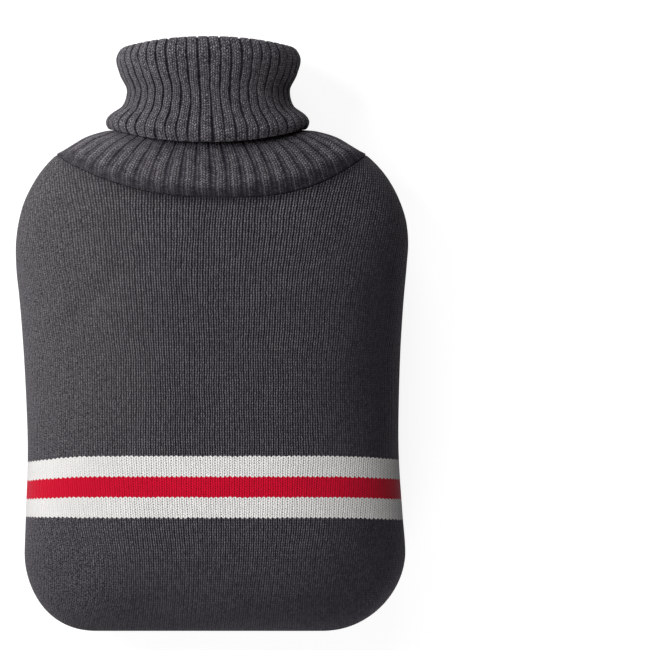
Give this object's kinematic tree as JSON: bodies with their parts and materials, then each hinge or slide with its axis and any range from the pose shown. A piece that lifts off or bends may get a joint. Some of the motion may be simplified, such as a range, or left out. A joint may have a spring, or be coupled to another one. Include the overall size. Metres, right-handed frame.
{
  "type": "hot water bottle cover",
  "caption": "Knitted cover for a hot water bottle: plain knit body with a stripe band low down, and a ribbed collar folded down round the neck like a roll neck.",
  "frame": {"origin": "under the middle of the cover as it lies on its back, on the surface it rests on: the bottom centre of its bounding box", "axes": "+Y from the bottom seam to the neck, +Z out of the front face, +X to the right as the front is looked at"},
  "size_m": [0.2238, 0.338, 0.0663],
  "materials": {
    "plain_knit": "matt stocking stitch in charcoal melange yarn, with a white, red and white stripe band low on the body",
    "rib_knit": "matt ribbed knit in charcoal melange yarn"
  },
  "bodies": {
    "root": {"front_panel": "plain_knit", "back_panel": "plain_knit", "collar": "rib_knit"}
  },
  "joints": []
}
